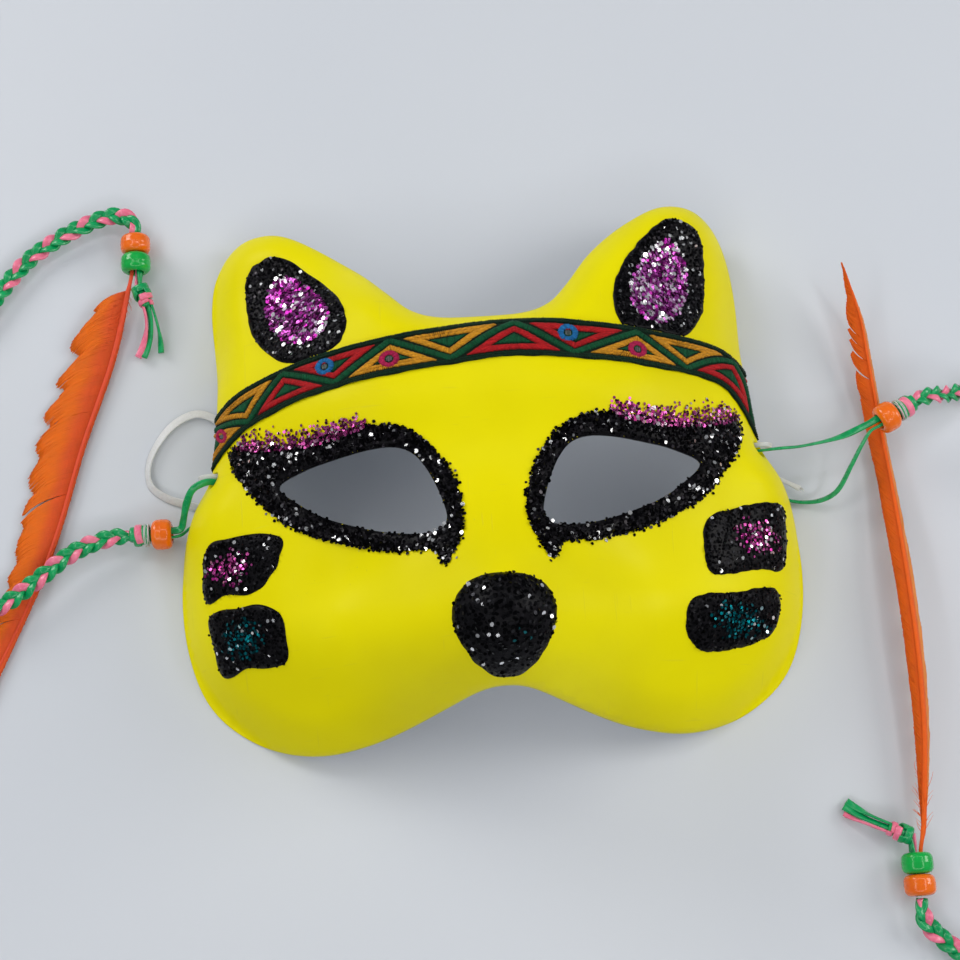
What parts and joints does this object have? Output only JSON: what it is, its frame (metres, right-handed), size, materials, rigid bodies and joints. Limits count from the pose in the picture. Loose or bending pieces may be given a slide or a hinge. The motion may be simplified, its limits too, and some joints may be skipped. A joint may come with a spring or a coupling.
{
  "type": "folk art cat half mask",
  "caption": "Yellow moulded cat half mask with an embroidered forehead ribbon, glitter paint, an elastic strap and a braided lace tassel with beads and a feather at each side.",
  "frame": {"origin": "centre of the mask's base, on the surface its rim rests on, without the strap and tassels", "axes": "+X to the viewer's right, +Y toward the ears, +Z out of the face"},
  "size_m": [0.3627, 0.2443, 0.0717],
  "materials": {
    "mask_plastic": "satin neon yellow moulded plastic, fine scratches",
    "ribbon_fabric": "woven ribbon, satin-stitched zigzag in red, yellow, green, pink and blue",
    "black_glitter": "black glitter paint, coarse flakes with white sparkles",
    "magenta_glitter": "magenta glitter paint",
    "teal_glitter": "teal glitter paint",
    "clear_elastic": "translucent white flat elastic",
    "lace_plastic": "glossy flat craft lace, green with pink",
    "orange_bead": "glossy",
    "green_bead": "glossy",
    "feather": "dyed orange-red feather barbs",
    "quill": "satin dyed shaft"
  },
  "bodies": {
    "mask": {"mask_shell": "mask_plastic", "forehead_ribbon": "ribbon_fabric", "nose_glitter": "black_glitter", "left_ear_glitter": "black_glitter", "left_ear_glitter_centre": "magenta_glitter", "left_eye_glitter_rim": "black_glitter", "left_eye_shadow_glitter": "magenta_glitter", "left_upper_cheek_bar": "black_glitter", "left_lower_cheek_bar": "black_glitter", "left_upper_bar_accent": "magenta_glitter", "left_lower_bar_accent": "teal_glitter", "right_ear_glitter": "black_glitter", "right_ear_glitter_centre": "magenta_glitter", "right_eye_glitter_rim": "black_glitter", "right_eye_shadow_glitter": "magenta_glitter", "right_upper_cheek_bar": "black_glitter", "right_lower_cheek_bar": "black_glitter", "right_upper_bar_accent": "magenta_glitter", "right_lower_bar_accent": "teal_glitter", "elastic_strap": "clear_elastic", "left_elastic_tie": "clear_elastic", "right_elastic_tie": "clear_elastic"},
    "left_tassel": {"left_lace_loop": "lace_plastic", "left_braid_knot": "lace_plastic", "left_braid": "lace_plastic"},
    "left_upper_bead_body": {"left_upper_bead": "orange_bead"},
    "left_tassel_end": {"left_end_knot": "lace_plastic", "left_lace_tails": "lace_plastic", "left_feather_quill": "quill", "left_feather_vane": "feather"},
    "left_orange_bead_body": {"left_end_orange_bead": "orange_bead"},
    "left_green_bead_body": {"left_end_green_bead": "green_bead"},
    "right_tassel": {"right_lace_loop": "lace_plastic", "right_braid_knot": "lace_plastic", "right_braid": "lace_plastic"},
    "right_upper_bead_body": {"right_upper_bead": "orange_bead"},
    "right_tassel_end": {"right_end_knot": "lace_plastic", "right_lace_tails": "lace_plastic", "right_feather_quill": "quill", "right_feather_vane": "feather"},
    "right_orange_bead_body": {"right_end_orange_bead": "orange_bead"},
    "right_green_bead_body": {"right_end_green_bead": "green_bead"}
  },
  "joints": [
    {"name": "left_tassel_swing", "type": "hinge", "parent": "mask", "child": "left_tassel", "pos_m": [-0.0796, 0.0022, 0.013], "axis": [0, 0, 1], "range_deg": [-6, 4]},
    {"name": "right_tassel_swing", "type": "hinge", "parent": "mask", "child": "right_tassel", "pos_m": [0.0796, 0.0022, 0.013], "axis": [0, 0, 1], "range_deg": [-7, 8]},
    {"name": "left_upper_bead_slide", "type": "slide", "parent": "left_tassel", "child": "left_upper_bead_body", "axis": [1, 0, 0], "range_m": [0, 0.002]},
    {"name": "right_upper_bead_slide", "type": "slide", "parent": "right_tassel", "child": "right_upper_bead_body", "axis": [-0.8944, -0.4472, 0], "range_m": [0, 0.003]},
    {"name": "left_tassel_end_swing", "type": "hinge", "parent": "left_tassel", "child": "left_tassel_end", "pos_m": [-0.1036, 0.0848, 0.005], "axis": [0, 0, 1], "range_deg": [-4, 8]},
    {"name": "right_tassel_end_swing", "type": "hinge", "parent": "right_tassel", "child": "right_tassel_end", "pos_m": [0.1155, -0.1302, 0.005], "axis": [0, 0, 1], "range_deg": [-4, 4]},
    {"name": "left_orange_bead_spin", "type": "hinge", "parent": "left_tassel_end", "child": "left_orange_bead_body", "pos_m": [-0.1036, 0.0848, 0.005], "axis": [0, 1, 0], "continuous": true},
    {"name": "left_green_bead_spin", "type": "hinge", "parent": "left_tassel_end", "child": "left_green_bead_body", "pos_m": [-0.1036, 0.0848, 0.005], "axis": [0, 1, 0], "continuous": true},
    {"name": "right_orange_bead_spin", "type": "hinge", "parent": "right_tassel_end", "child": "right_orange_bead_body", "pos_m": [0.1155, -0.1302, 0.005], "axis": [0, 1, 0], "continuous": true},
    {"name": "right_green_bead_spin", "type": "hinge", "parent": "right_tassel_end", "child": "right_green_bead_body", "pos_m": [0.1155, -0.1302, 0.005], "axis": [0, 1, 0], "continuous": true}
  ]
}
